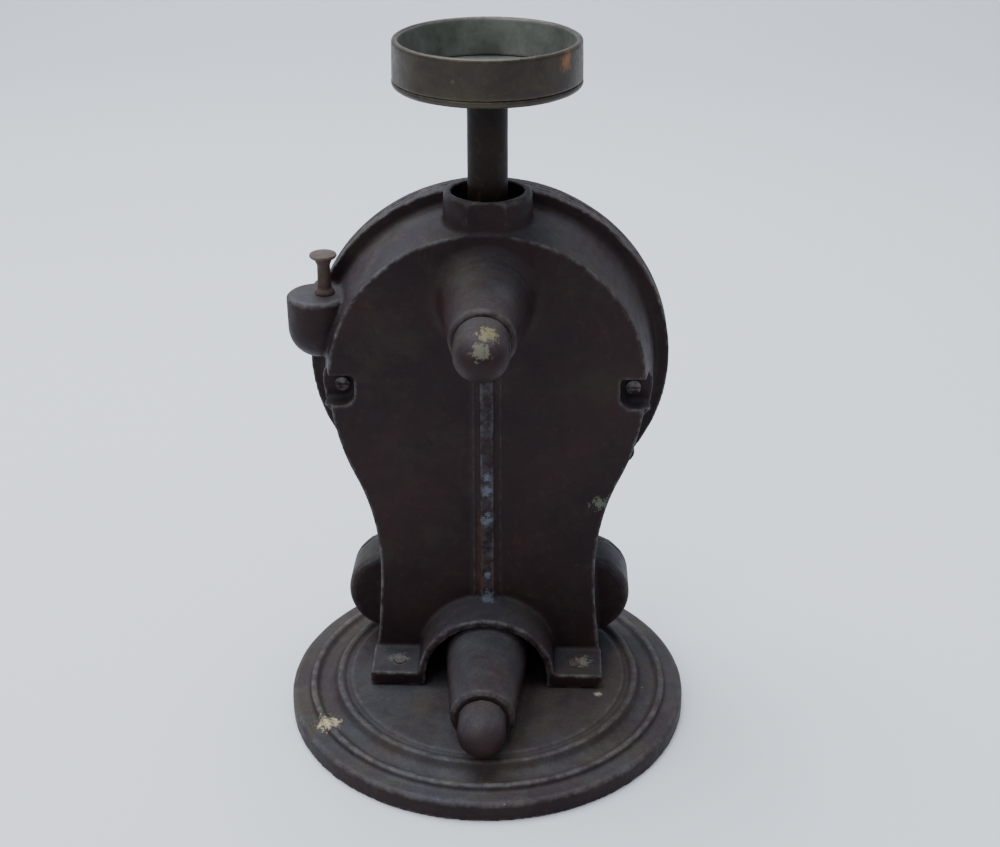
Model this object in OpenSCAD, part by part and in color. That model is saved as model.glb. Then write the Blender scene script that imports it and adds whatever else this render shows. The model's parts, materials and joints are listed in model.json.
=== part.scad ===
// Pedestal spring scale with a dial: a cast iron base and casing, a pan seat on
// a sliding stem, twin extension springs, a rack and pinion that turns the
// pointer, and two check links that keep the stem upright.
// Millimetres. The origin is the centre of the base's underside, +Z is up.
// The plain back of the casing faces -Y and the dial faces +Y.

/* [Base] */
// Radius of the round base
base_r = 90; // [86:1:100]
// Height of the base's outer rim
base_rim_h = 9; // [7:0.5:10]
// Radius of the raised disc that the casing stands on
disc_r = 66; // [64:1:70]
// Height of the raised disc's top above the table
disc_top = 14; // [13:0.5:15]

/* [Casing] */
// Height of the dial's centre above the table
dial_z = 155.5; // [150:0.5:160]
// Radius of the casing's round back face
face_r = 68; // [66:1:69]
// Radius of the drum where it meets the flange
drum_r = 73.5; // [72:0.5:75]
// Radius of the flange that carries the front plate
flange_r = 79.5; // [78:0.5:82]
// Wall thickness of the casting
wall = 4.5; // [3.5:0.5:5]
// Half width of the waist between drum and feet
waist_half = 48.5; // [47:0.5:50]
// Half width of the casing at its feet
foot_half = 52.5; // [51:0.5:54]

/* [Stem and pan seat] */
// Distance of the stem's axis in front of the base's centre
stem_y = 24; // [23:0.5:25]
// Radius of the stem
stem_r = 8.4; // [7.5:0.1:9]
// Radius of the collar's hole round the stem
collar_bore_r = 15.3; // [14:0.1:16]
// Height of the collar's lip above the table
collar_top = 237; // [236:0.5:239]
// Outer radius of the pan seat
cup_r = 38.5; // [36:0.5:42]
// Inner radius of the pan seat
cup_bore_r = 35.6; // [33:0.1:36]
// Height of the pan seat's rim above the table
cup_top = 300; // [298:1:304]
// Height of the pan seat
cup_h = 19; // [17:1:21]
// Travel of the stem from no load to full load
stroke = 14; // [10:1:14]

/* [Cones] */
// Height of the upper cone's axis
upper_cone_z = 195; // [193:0.5:197]
// Height of the lower cone's axis
lower_cone_z = 27; // [26.5:0.5:27.5]
// Radius of the round nose on the lower cone
nose_r = 10.3; // [10:0.1:11]

/* [Movement] */
// Gear module of the rack and pinion
gear_module = 0.5; // [0.5]
// Number of teeth on the pinion
pinion_teeth = 10; // [10]
// Radius of the pointer's arbor
arbor_r = 1.5; // [1.4:0.1:1.6]
// Outer radius of each main spring
spring_r = 5.6; // [5:0.1:6]
// Wire radius of each main spring
spring_wire_r = 0.8; // [0.7:0.05:0.9]

/* [Hidden] */

$fn = 96;
eps = 0.05;
fit = 0.05;

// Planes along Y, from the back of the casing to the dial
face_y = 6;
flange_back_y = 36;
flange_y = 40;
plate_y = 44;
foot_front_y = -15;
bezel_y = 54;

// Side outline of the casing: an S of two equal arcs above the waist
waist_z = 66;
s_dx = face_r - waist_half;
s_dz = dial_z - waist_z;
s_r = (s_dx * s_dx + s_dz * s_dz) / (4 * s_dx);
bend_z = (dial_z + waist_z) / 2;
flare_h = waist_z - disc_top;
flare_dx = foot_half - waist_half;
flare_r = (flare_dx * flare_dx + flare_h * flare_h) / (2 * flare_dx);

// Feet and the arch between them
foot_t = 7;
arch_r = 31;
arch_t = 3.6;
arch_z = 18.6;

// Rib down the middle of the face, on a low broad step
rib_h = 3;
rib_step_h = 1.1;
rib_half = 3;
rib_low = 40;
rib_len = 140;

// Round ears at the bottom of the casing
ear_x = 45;
ear_z = 41;
ear_r = 20.5;
ear_back_y = 20;
ear_bolt_x = 56;
ear_bolt_r = 2.5;

// Ear at the top left that carries the zero screw
pocket_ear_x = -73;
pocket_ear_r = 13.5;
pocket_ear_top = 190;
pocket_ear_low = 175;
zero_x = -70;
zero_r = 3;

// Pockets at the edge of the face, with the casing screws in them
pocket_x = 63;
pocket_z = 151;
pocket_r = 6;
pocket_floor_y = 15;
pocket_boss_r = 10;
casing_screw_r = 2;

// Floor of the pan seat
seat_low = cup_top - cup_h;
seat_t = 3;
cup_screw_r = 2;

// Cones
upper_cone_len = 44;
upper_root_r = 19.5;
upper_tip_r = 13.6;
lower_tip_y = -56;
lower_seat_y = -46;
lower_taper_y = -10;
lower_open_y = 12;
lower_root_r = 18.5;
lower_tip_r = 14;
upper_nose_r = 11.4;
upper_nose_y = -49;
lower_nose_y = -65.6;
cone_bore_r = 11;
spigot_r = 9;
spigot_len = 8;

// Check links
pivot_y = -44;
link_len = stem_y - pivot_y;
link_rise = stroke / 2;
link_tilt = asin(link_rise / link_len);
link_w = 8;
link_h = 6;
pin_r = 1.5;
link_pin_r = 2;

// Foot bolts: two under the back feet, two inside the front edge
foot_boss_x = 38;
foot_boss_y = 28;
foot_bolt_at = [[-40, -5], [40, -5], [1 - foot_boss_x, foot_boss_y],
                [foot_boss_x - 1, foot_boss_y]];
foot_bolt_r = 2.5;

// Carrier frame
rail_in = 10;
rail_out = 14;
carrier_y0 = 19.5;
carrier_y1 = 28;
head_z0 = 196;
head_z1 = 214;
bar_z0 = 90;
bar_z1 = 100;
bar_half = 40;
tail_half = 9;
stem_spigot_r = 3;
stem_spigot_len = 5;
slot_half = 4.3;

// Rack and pinion
pitch_r = gear_module * pinion_teeth / 2;
tooth_pitch = PI * gear_module;
gear_y0 = 22.5;
gear_y1 = 26.5;
gear_mid_y = (gear_y0 + gear_y1) / 2;
rack_z0 = 147;
rack_z1 = 178;
rack_screw_z = [rack_z0 + 4, rack_z1 - 4];
rack_screw_r = 1;
rack_root_x = -pitch_r - 0.68;
rack_tip_x = -pitch_r + 0.36;
tip_r = pitch_r + 0.5;
root_r = pitch_r - 0.6;
sweep = stroke / pitch_r * 180 / PI;

// Movement bridge
bridge_y0 = 12.5;
bridge_y1 = 15;
post_x = 20;
post_r = 3.2;

// Zero beam
beam_y0 = 29;
beam_y1 = 33;
beam_mid_y = 31;
beam_z0 = 174;
beam_z1 = 182;
beam_pivot_x = 50;
beam_pivot_z = 178;
beam_pin_r = 2;

// Main springs
spring_x = 34;
spring_turns = 11;
eye_r = 4;
top_eye_z = 176;
low_eye_z = 98;
low_eye_hole_r = 2.6;
coil_top = 171;
coil_low = 103;

// Bezel lugs and the pointer side
lug_angles = [-38.6, 160];
lug_at_r = 78.8;
lug_r = 5;
dial_r = 71;
arbor_end_y = plate_y + 3.6;
window_r = 67;
bezel_screw_r = 1.6;
rivet_x = 40;
rivet_r = 1.2;

iron = [0.13, 0.11, 0.12];
iron_worn = [0.20, 0.18, 0.17];
steel = [0.55, 0.55, 0.56];
brass = [0.72, 0.58, 0.28];
enamel = [0.90, 0.88, 0.80];
patina = [0.24, 0.22, 0.17];
ink = [0.07, 0.07, 0.08];

// ---------- shared shapes ----------

// Extrudes an X-Z outline from y0 to y1
module slab(y0, y1) {
    translate([0, y1, 0])
        rotate([90, 0, 0])
            linear_extrude(y1 - y0)
                children();
}

// Turns a profile (radius, depth behind y) about an axis along Y
module turned(x, y, z) {
    translate([x, y, z])
        rotate([90, 0, 0])
            rotate_extrude()
                children();
}

// Round bar along Y, from y0 to y1
module bar_y(x, z, r, y0, y1) {
    translate([x, y1, z])
        rotate([90, 0, 0])
            cylinder(r = r, h = y1 - y0);
}

// Round bar along X, centred on x
module bar_x(x, y, z, r, len) {
    translate([x - len / 2, y, z])
        rotate([0, 90, 0])
            cylinder(r = r, h = len);
}

// Half of the casing's outline below the dial's centre, pulled in by inset
module leg_outline(inset) {
    difference() {
        union() {
            intersection() {
                translate([face_r - s_r, dial_z])
                    circle(s_r - inset, $fn = 200);
                translate([s_r - face_r, dial_z])
                    circle(s_r - inset, $fn = 200);
                translate([-face_r, bend_z])
                    square([2 * face_r, dial_z - bend_z]);
            }
            translate([-foot_half - 2, disc_top])
                square([2 * foot_half + 4, waist_z - disc_top]);
            translate([-face_r, waist_z])
                square([2 * face_r, bend_z - waist_z]);
        }
        for (s = [-1, 1]) {
            intersection() {
                translate([s * (waist_half + s_r), waist_z])
                    circle(s_r + inset, $fn = 200);
                translate([-100, waist_z])
                    square([200, bend_z - waist_z]);
            }
            intersection() {
                translate([s * (waist_half + flare_r), waist_z])
                    circle(flare_r + inset, $fn = 400);
                translate([-100, 0])
                    square([200, waist_z]);
            }
        }
    }
}

// Whole outline of the back face
module face_outline() {
    translate([0, dial_z])
        circle(face_r, $fn = 160);
    leg_outline(0);
}

// Shape of the two pockets at the edge of the face
module pocket_outline() {
    for (s = [-1, 1]) {
        translate([s * pocket_x, pocket_z])
            circle(pocket_r);
        translate([s * pocket_x - pocket_r, pocket_z])
            square([2 * pocket_r, 8]);
        translate([s > 0 ? pocket_x : -pocket_x - 20, pocket_z - pocket_r])
            square([20, pocket_r + 8]);
    }
}

// Round lug outlines that the bezel and the front plate share
module lug_outline() {
    for (a = lug_angles)
        translate([lug_at_r * cos(a), dial_z + lug_at_r * sin(a)])
            circle(lug_r);
}

// Slotted round screw head, facing -Y, with its seat at y
module head_back(x, y, z, r, h) {
    difference() {
        bar_y(x, z, r, y - h, y);
        translate([x - r, y - h - eps, z - 0.5])
            cube([2 * r, h / 2, 1]);
    }
}

// Slotted round screw head, facing +Y, with its seat at y
module head_front(x, y, z, r, h) {
    difference() {
        bar_y(x, z, r, y, y + h);
        translate([x - r, y + h / 2, z - 0.5])
            cube([2 * r, h / 2 + eps, 1]);
    }
}

// ---------- base ----------

module base_profile() {
    bead_at = base_r - 10;
    bead_h = 2.6;
    difference() {
        polygon([[0, 0], [base_r, 0], [base_r, base_rim_h - 1.8], [base_r - 0.6, base_rim_h - 0.6],
                 [base_r - 2, base_rim_h], [bead_at + 2, base_rim_h - 0.2],
                 [bead_at + 1.6, base_rim_h + bead_h - 0.8], [bead_at + 0.8, base_rim_h + bead_h],
                 [bead_at - 0.8, base_rim_h + bead_h], [bead_at - 1.8, base_rim_h + bead_h - 1],
                 [bead_at - 3, base_rim_h + 0.4], [bead_at - 6, base_rim_h + 0.6],
                 [bead_at - 9, base_rim_h + 1.8], [disc_r + 3.6, disc_top - 1.4],
                 [disc_r + 2.6, disc_top], [disc_r + 0.8, disc_top],
                 [disc_r, disc_top - 0.6], [disc_r - 0.6, disc_top - 1.4],
                 [disc_r - 2.2, disc_top - 1.4], [disc_r - 3.2, disc_top], [0, disc_top]]);
        polygon([[-1, -1], [82, -1], [80, 2.5], [68, 7], [-1, 7]]);
    }
}

module lower_cone() {
    tip = lower_open_y - lower_tip_y;
    taper = lower_open_y - lower_taper_y;
    turned(0, lower_open_y, lower_cone_z)
        difference() {
            polygon([[0, 0], [lower_root_r, 0], [lower_root_r, taper],
                     [lower_tip_r, tip - 1.5], [lower_tip_r - 1.5, tip], [0, tip]]);
            translate([-1, -1])
                square([spigot_r + 1, tip + 2]);
        }
}

module base() {
    color(iron)
        difference() {
            union() {
                rotate_extrude($fn = 180)
                    base_profile();
                difference() {
                    lower_cone();
                    translate([-30, -80, -1])
                        cube([60, 120, disc_top - 2]);
                }
            }
            bar_y(0, lower_cone_z, spigot_r, lower_tip_y - eps, lower_seat_y + eps);
            bar_y(0, lower_cone_z, cone_bore_r, lower_seat_y, lower_open_y + eps);
            bar_x(0, pivot_y, lower_cone_z, pin_r, 60);
            for (p = foot_bolt_at)
                translate([p[0], p[1], 0])
                    cylinder(r = foot_bolt_r + fit, h = 30);
        }
}

// ---------- casing ----------

module arch_and_feet() {
    slab(foot_front_y, face_y + 1)
        difference() {
            union() {
                translate([-foot_half, disc_top])
                    square([2 * foot_half, foot_t]);
                difference() {
                    translate([0, arch_z])
                        circle(arch_r);
                    translate([-50, -50])
                        square([100, 50 + disc_top]);
                }
            }
            arch_opening();
        }
}

// Arched way for the lower cone
module arch_opening() {
    translate([0, arch_z])
        circle(arch_r - arch_t);
    translate([-arch_r + arch_t, 0])
        square([2 * (arch_r - arch_t), arch_z]);
}

module upper_cone_solid() {
    flare = 7;
    turned(0, face_y + wall, upper_cone_z)
        difference() {
            union() {
                polygon([[0, 0], [upper_root_r, 0], [upper_root_r, wall],
                         [upper_tip_r, wall + upper_cone_len - 1.5],
                         [upper_tip_r - 1.5, wall + upper_cone_len],
                         [0, wall + upper_cone_len]]);
                square([upper_root_r + flare - 0.4, wall + flare]);
            }
            translate([upper_root_r + flare - 0.4, wall + flare])
                circle(flare);
            translate([upper_root_r - 0.3, wall + flare - 0.4])
                square([flare, flare]);
        }
}

module collar_solid() {
    outer = 18.6;
    lip = 1.2;
    flare = 10;
    base_z = 216;
    intersection() {
        translate([0, stem_y, base_z])
            rotate_extrude()
                difference() {
                    union() {
                        polygon([[0, 0], [outer + 0.6, 0], [outer, collar_top - base_z - lip],
                                 [outer - lip, collar_top - base_z], [0, collar_top - base_z]]);
                        square([outer + flare * 0.6, flare]);
                    }
                    translate([outer + flare, flare])
                        circle(flare);
                }
        translate([-50, face_y + 1, base_z])
            cube([100, flange_y - face_y - 1, 40]);
    }
}

module pocket_ear_solid() {
    translate([pocket_ear_x, stem_y, pocket_ear_low])
        rotate_extrude()
            intersection() {
                union() {
                    circle(pocket_ear_r);
                    translate([0, 0])
                        square([pocket_ear_r, pocket_ear_top - pocket_ear_low - 1]);
                    square([pocket_ear_r - 1, pocket_ear_top - pocket_ear_low]);
                }
                translate([0, -pocket_ear_r])
                    square([pocket_ear_r, 2 * pocket_ear_r + 10]);
            }
}

// Round ear with an eased edge, seen from the back as a disc
module round_ear_solid(s) {
    depth = flange_y - ear_back_y;
    turned(s * ear_x, flange_y, ear_z)
        polygon([[0, 0], [ear_r, 0], [ear_r, depth - 3], [ear_r - 0.9, depth - 0.9],
                 [ear_r - 3, depth], [0, depth]]);
}

module casing_outer() {
    translate([0, flange_back_y, dial_z])
        rotate([90, 0, 0])
            cylinder(r1 = drum_r, r2 = face_r, h = flange_back_y - face_y, $fn = 160);
    bar_y(0, dial_z, flange_r, flange_back_y, flange_y, $fn = 180);
    slab(face_y, flange_y)
        leg_outline(0);
    arch_and_feet();
    upper_cone_solid();
    collar_solid();
    pocket_ear_solid();
    for (s = [-1, 1])
        round_ear_solid(s);
    slab(face_y - rib_h, face_y + 1)
        translate([-rib_half, rib_low])
            square([2 * rib_half, rib_len]);
    slab(face_y - rib_step_h, face_y + 1)
        translate([-2 * rib_half, rib_low + 6])
            square([4 * rib_half, rib_len - 6]);
}

module casing_cavity() {
    inner_y = face_y + wall;
    translate([0, flange_y + eps, dial_z])
        rotate([90, 0, 0])
            cylinder(r1 = drum_r - wall + 0.8, r2 = face_r - wall + 0.8,
                     h = flange_y + eps - inner_y, $fn = 160);
    slab(inner_y, flange_y + eps)
        intersection() {
            leg_outline(wall);
            translate([-60, 0])
                square([120, 200]);
        }
}

module rear_casing() {
    color(iron)
        difference() {
            union() {
                difference() {
                    casing_outer();
                    casing_cavity();
                }
                for (s = [-1, 1])
                    intersection() {
                        bar_y(s * pocket_x, pocket_z, pocket_boss_r, face_y + 1, flange_y);
                        translate([0, flange_back_y, dial_z])
                            rotate([90, 0, 0])
                                cylinder(r = drum_r - 2, h = flange_back_y - face_y - 2);
                    }
                for (s = [-1, 1])
                    translate([s * foot_boss_x, foot_boss_y, disc_top])
                        cylinder(r = 8, h = 8);
                bar_y(beam_pivot_x, beam_pivot_z, 5, face_y + 1, beam_y0 - 0.5);
            }
            // mouth of the tub at its foot, with the arched way for the cone
            slab(foot_front_y - eps, face_y + wall + eps)
                arch_opening();
            // stem hole, cone bore and the seat of the nose plug
            translate([0, stem_y, 200])
                cylinder(r = collar_bore_r, h = 60);
            bar_y(0, upper_cone_z, cone_bore_r, face_y - upper_cone_len + spigot_len, face_y + wall + eps);
            bar_y(0, upper_cone_z, spigot_r, face_y - upper_cone_len - eps, face_y);
            // pockets and their screws
            slab(face_y - 5, pocket_floor_y)
                pocket_outline();
            for (s = [-1, 1])
                bar_y(s * pocket_x, pocket_z + 1, casing_screw_r + fit, 10, flange_y + eps);
            // hollow in the top left ear, open to the drum
            translate([pocket_ear_x, stem_y, 168])
                cylinder(r = 9.3, h = 18);
            translate([-72, 16, 168])
                cube([20, 17.3, 18]);
            translate([zero_x, stem_y, 180])
                cylinder(r = zero_r + 0.08, h = 20);
            // bolts
            for (s = [-1, 1])
                bar_y(s * ear_bolt_x, ear_z, ear_bolt_r + fit, 24, flange_y + eps);
            for (p = foot_bolt_at)
                translate([p[0], p[1], 0])
                    cylinder(r = foot_bolt_r + fit, h = 24);
            bar_y(beam_pivot_x, beam_pivot_z, beam_pin_r, 14, flange_y);
        }
}

module front_plate() {
    panel = 6;
    color(iron)
        difference() {
            union() {
                slab(flange_y, plate_y) {
                    translate([0, dial_z])
                        circle(flange_r, $fn = 180);
                    leg_outline(0);
                    lug_outline();
                    for (s = [-1, 1])
                        translate([s * ear_x, ear_z])
                            circle(ear_r);
                }
                slab(plate_y - eps, plate_y + 1.5)
                    difference() {
                        intersection() {
                            leg_outline(panel);
                            translate([-60, disc_top + panel])
                                square([120, 100]);
                        }
                        translate([0, dial_z])
                            circle(flange_r + 3, $fn = 180);
                    }
            }
            bar_y(0, dial_z, 4, flange_y - eps, plate_y + eps);
            for (s = [-1, 1]) {
                bar_y(s * post_x, dial_z, 2, flange_y - eps, plate_y + eps);
                bar_y(s * ear_bolt_x, ear_z, ear_bolt_r + fit, flange_y - eps, plate_y + 3);
                bar_y(s * pocket_x, pocket_z + 1, casing_screw_r + fit, flange_y - eps, plate_y + eps);
                bar_y(s * rivet_x, dial_z - rivet_x, rivet_r, flange_y - eps, plate_y + eps);
            }
            for (a = lug_angles)
                bar_y(lug_at_r * cos(a), dial_z + lug_at_r * sin(a), bezel_screw_r + fit,
                      flange_y - eps, plate_y + eps);
        }
}

module bezel() {
    color(iron_worn)
        difference() {
            union() {
                turned(0, bezel_y, dial_z, $fn = 180)
                    difference() {
                        polygon([[window_r, 4], [window_r, 3], [window_r + 2.5, 0.8],
                                 [window_r + 5, 0], [window_r + 8, 0.3],
                                 [flange_r - 1.5, 3], [flange_r, 5.5],
                                 [flange_r, bezel_y - plate_y],
                                 [72, bezel_y - plate_y], [72, 4]]);
                        translate([73.2, -0.9])
                            circle(1.6, $fn = 40);
                    }
                slab(plate_y, plate_y + 5)
                    difference() {
                        lug_outline();
                        translate([0, dial_z])
                            circle(flange_r - 3, $fn = 180);
                    }
            }
            for (a = lug_angles)
                bar_y(lug_at_r * cos(a), dial_z + lug_at_r * sin(a), bezel_screw_r + fit,
                      plate_y - eps, bezel_y + eps);
            for (a = lug_angles)
                bar_y(lug_at_r * cos(a), dial_z + lug_at_r * sin(a), 3.2,
                      plate_y + 5, bezel_y + eps);
        }
}

module glass() {
    color([0.75, 0.85, 0.85, 0.4])
        bar_y(0, dial_z, 71.9, plate_y + 4, plate_y + 6, $fn = 160);
}

module glass_spacer() {
    color(brass)
        difference() {
            bar_y(0, dial_z, 71.9, plate_y + 1, plate_y + 4, $fn = 160);
            bar_y(0, dial_z, 69.4, plate_y, plate_y + 5, $fn = 160);
        }
}

module dial_plate() {
    color(enamel)
        difference() {
            bar_y(0, dial_z, dial_r, plate_y, plate_y + 1, $fn = 160);
            bar_y(0, dial_z, 4.5, plate_y - eps, plate_y + 2);
            for (s = [-1, 1])
                bar_y(s * rivet_x, dial_z - rivet_x, rivet_r, plate_y - eps, plate_y + 2);
        }
}

// Ticks round the dial: every fifth one is longer
module dial_marks() {
    marks = 50;
    color(ink)
        for (i = [0 : marks]) {
            long = i % 5 == 0;
            translate([0, plate_y + 1, dial_z])
                rotate([0, -180 + (360 - sweep) / 2 + i * sweep / marks, 0])
                    translate([long ? -0.5 : -0.25, 0, long ? 54 : 59])
                        cube([long ? 1 : 0.5, 0.2, (long ? 11 : 6)]);
        }
}

// ---------- plugs, screws and pins on the casing ----------

// Round nosed plug that closes a cone and holds its spigot in the bore
module nose_plug(y_shoulder, y_centre, z, r, depth) {
    reach = y_shoulder - y_centre;
    color(iron)
        difference() {
            union() {
                turned(0, y_shoulder, z)
                    intersection() {
                        union() {
                            square([r, reach]);
                            translate([0, reach])
                                circle(r);
                        }
                        square([r, reach + r]);
                    }
                bar_y(0, z, spigot_r, y_shoulder - eps, y_shoulder + spigot_len);
            }
            bar_y(0, z, 7.4, y_shoulder - depth, y_shoulder + spigot_len + eps);
            if (depth > 5)
                bar_x(0, pivot_y, z, pin_r, 40);
        }
}

module upper_nose_plug() {
    nose_plug(face_y - upper_cone_len, upper_nose_y, upper_cone_z, upper_nose_r, 12);
}

module lower_nose_plug() {
    nose_plug(lower_tip_y, lower_nose_y, lower_cone_z, nose_r, 2);
}

module casing_screws() {
    color(steel)
        for (s = [-1, 1]) {
            head_back(s * pocket_x, pocket_floor_y, pocket_z + 1, 3.2, 1.2);
            bar_y(s * pocket_x, pocket_z + 1, casing_screw_r, pocket_floor_y - 0.5, plate_y);
        }
}

module ear_bolts() {
    color(steel)
        for (s = [-1, 1]) {
            head_front(s * ear_bolt_x, plate_y, ear_z, 4.6, 3);
            bar_y(s * ear_bolt_x, ear_z, ear_bolt_r, 25, plate_y + 0.5);
        }
}

module foot_bolts() {
    color(iron_worn)
        for (p = foot_bolt_at) {
            translate([p[0], p[1], 3.6])
                cylinder(r = 4.8, h = 3.4, $fn = 6);
            translate([p[0], p[1], 6])
                cylinder(r = foot_bolt_r, h = disc_top + foot_t - 6);
        }
}

module bezel_screws() {
    color(brass)
        for (a = lug_angles) {
            x = lug_at_r * cos(a);
            z = dial_z + lug_at_r * sin(a);
            head_front(x, plate_y + 5, z, 3, 2);
            bar_y(x, z, bezel_screw_r, flange_y, plate_y + 5.5);
        }
}

module dial_rivets() {
    color(brass)
        for (s = [-1, 1]) {
            bar_y(s * rivet_x, dial_z - rivet_x, rivet_r, flange_y, plate_y + 1.2);
            bar_y(s * rivet_x, dial_z - rivet_x, rivet_r + 0.8, plate_y + 1, plate_y + 1.6);
        }
}

module upper_pivot_pin() {
    color(steel)
        bar_x(0, pivot_y, upper_cone_z, pin_r, 2 * upper_nose_r - 1.2);
}

module lower_pivot_pin() {
    color(steel)
        bar_x(0, pivot_y, lower_cone_z, pin_r, 26);
}

module beam_pivot_pin() {
    color(steel) {
        bar_y(beam_pivot_x, beam_pivot_z, beam_pin_r, 14, 35);
        bar_y(beam_pivot_x, beam_pivot_z, 3.6, beam_y1 + 0.4, 35);
    }
}

// ---------- movement ----------

module movement_bridge() {
    color(brass)
        difference() {
            slab(bridge_y0, bridge_y1) {
                translate([-post_x - 6, dial_z - 5])
                    square([2 * post_x + 12, 10]);
                translate([0, dial_z])
                    circle(9);
            }
            bar_y(0, dial_z, 3.5, bridge_y0 - eps, bridge_y1 + eps);
            for (s = [-1, 1])
                bar_y(s * post_x, dial_z, 1.5 + fit, bridge_y0 - eps, bridge_y1 + eps);
        }
}

module bridge_posts() {
    color(brass)
        for (s = [-1, 1])
            difference() {
                union() {
                    bar_y(s * post_x, dial_z, post_r, bridge_y1, flange_y);
                    bar_y(s * post_x, dial_z, 2, flange_y - eps, plate_y);
                }
                bar_y(s * post_x, dial_z, 1.5, bridge_y1 - eps, bridge_y1 + 8);
            }
}

module bridge_screws() {
    color(steel)
        for (s = [-1, 1]) {
            head_back(s * post_x, bridge_y0, dial_z, 2.8, 1.5);
            bar_y(s * post_x, dial_z, 1.5, bridge_y0 - 0.5, bridge_y1 + 7);
        }
}

module bush(y0, y1, r) {
    color(brass)
        difference() {
            bar_y(0, dial_z, r, y0, y1);
            bar_y(0, dial_z, arbor_r + fit, y0 - eps, y1 + eps);
        }
}

module front_bush() {
    bush(flange_y - 1, plate_y + 0.8, 4);
}

module rear_bush() {
    bush(bridge_y0 - 0.5, bridge_y1 + 1.5, 3.5);
}

module arbor() {
    color(steel)
        bar_y(0, dial_z, arbor_r, bridge_y0, arbor_end_y);
}

// Outline of one pinion tooth, pointing along +X
module pinion_tooth() {
    polygon([[root_r - 0.4, -0.5], [root_r + 0.2, -0.44], [pitch_r, -0.36],
             [tip_r, -0.14], [tip_r, 0.14], [pitch_r, 0.36],
             [root_r + 0.2, 0.44], [root_r - 0.4, 0.5]]);
}

module pinion() {
    color(brass)
        difference() {
            translate([0, gear_y1, dial_z])
                rotate([90, 0, 0])
                    linear_extrude(gear_y1 - gear_y0) {
                        circle(root_r);
                        for (i = [0 : pinion_teeth - 1])
                            rotate(i * 360 / pinion_teeth)
                                pinion_tooth();
                    }
            bar_y(0, dial_z, arbor_r, gear_y0 - eps, gear_y1 + eps);
        }
}

module rack() {
    count = 19;
    color(brass)
        difference() {
            slab(22, 27) {
                translate([-rail_in, rack_z0])
                    square([rail_in + rack_root_x, rack_z1 - rack_z0]);
                for (i = [-5 : count - 6])
                    translate([rack_root_x, dial_z + (i + 0.5) * tooth_pitch])
                        polygon([[-0.1, -0.46], [0.68, -0.34],
                                 [rack_tip_x - rack_root_x, -0.16],
                                 [rack_tip_x - rack_root_x, 0.16],
                                 [0.68, 0.34], [-0.1, 0.46]]);
            }
            for (z = rack_screw_z)
                bar_x(-9, gear_mid_y, z, rack_screw_r + fit, 7);
        }
}

module rack_screws() {
    color(steel)
        for (z = rack_screw_z) {
            bar_x(-10.5, gear_mid_y, z, rack_screw_r, 9);
            bar_x(-14.8, gear_mid_y, z, 2 * rack_screw_r, 1.6);
        }
}

module carrier_frame() {
    top_pin_z = upper_cone_z + link_rise;
    low_pin_z = lower_cone_z + link_rise;
    color(iron_worn)
        difference() {
            union() {
                slab(carrier_y0, carrier_y1) {
                    difference() {
                        translate([-rail_out, bar_z0])
                            square([2 * rail_out, head_z1 - bar_z0]);
                        translate([-rail_in, bar_z1])
                            square([2 * rail_in, head_z0 - bar_z1]);
                    }
                    translate([-tail_half, low_pin_z - 4.5])
                        square([2 * tail_half, bar_z0 - low_pin_z + 5]);
                }
                slab(beam_y0, beam_y1)
                    translate([-bar_half, bar_z0])
                        square([2 * bar_half, bar_z1 - bar_z0]);
                slab(carrier_y1 - 1, beam_y0 + 1)
                    translate([-rail_out, bar_z0])
                        square([2 * rail_out, bar_z1 - bar_z0]);
            }
            // slots for the ends of the check links
            translate([-slot_half, 10, head_z0 - 1])
                cube([2 * slot_half, 25, 12]);
            translate([-slot_half, 10, low_pin_z - 8])
                cube([2 * slot_half, 25, 17]);
            bar_x(0, stem_y, top_pin_z, link_pin_r, 40);
            bar_x(0, stem_y, low_pin_z, link_pin_r, 40);
            // spigot of the stem
            translate([0, stem_y, head_z1 - stem_spigot_len])
                cylinder(r = stem_spigot_r, h = stem_spigot_len + 1);
            // holes for the rack's screws and the springs' lower eyes
            for (z = rack_screw_z)
                bar_x(-12, gear_mid_y, z, rack_screw_r + fit, 6);
            for (s = [-1, 1])
                bar_y(s * spring_x, low_eye_z - eye_r + 0.2, low_eye_hole_r,
                      beam_y0 - eps, beam_y1 + eps);
        }
}

module upper_link_pin() {
    color(steel)
        bar_x(0, stem_y, upper_cone_z + link_rise, link_pin_r, 2 * rail_out);
}

module lower_link_pin() {
    color(steel)
        bar_x(0, stem_y, lower_cone_z + link_rise, link_pin_r, 2 * tail_half);
}

// Bar from the fixed pivot to the carrier, with a slotted eye at the moving end
module check_link(z) {
    color(iron_worn)
        translate([0, pivot_y, z])
            rotate([link_tilt, 0, 0])
                difference() {
                    union() {
                        translate([-link_w / 2, 0, -link_h / 2])
                            cube([link_w, link_len, link_h]);
                        bar_x(0, 0, 0, 3.6, link_w);
                        bar_x(0, link_len, 0, 3.8, link_w);
                    }
                    bar_x(0, 0, 0, pin_r + fit, link_w + 2);
                    for (d = [-0.5, 0.5])
                        bar_x(0, link_len + d, 0, link_pin_r + 0.1, link_w + 2);
                }
}

module upper_check_link() {
    check_link(upper_cone_z);
}

module lower_check_link() {
    check_link(lower_cone_z);
}

// ---------- stem and pan seat ----------

module stem() {
    color(iron_worn)
        difference() {
            union() {
                translate([0, stem_y, head_z1])
                    cylinder(r = stem_r, h = seat_low - head_z1);
                translate([0, stem_y, head_z1 - stem_spigot_len])
                    cylinder(r = stem_spigot_r, h = stem_spigot_len + 1);
            }
            translate([0, stem_y, seat_low - 14])
                cylinder(r = cup_screw_r, h = 15);
        }
}

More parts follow.
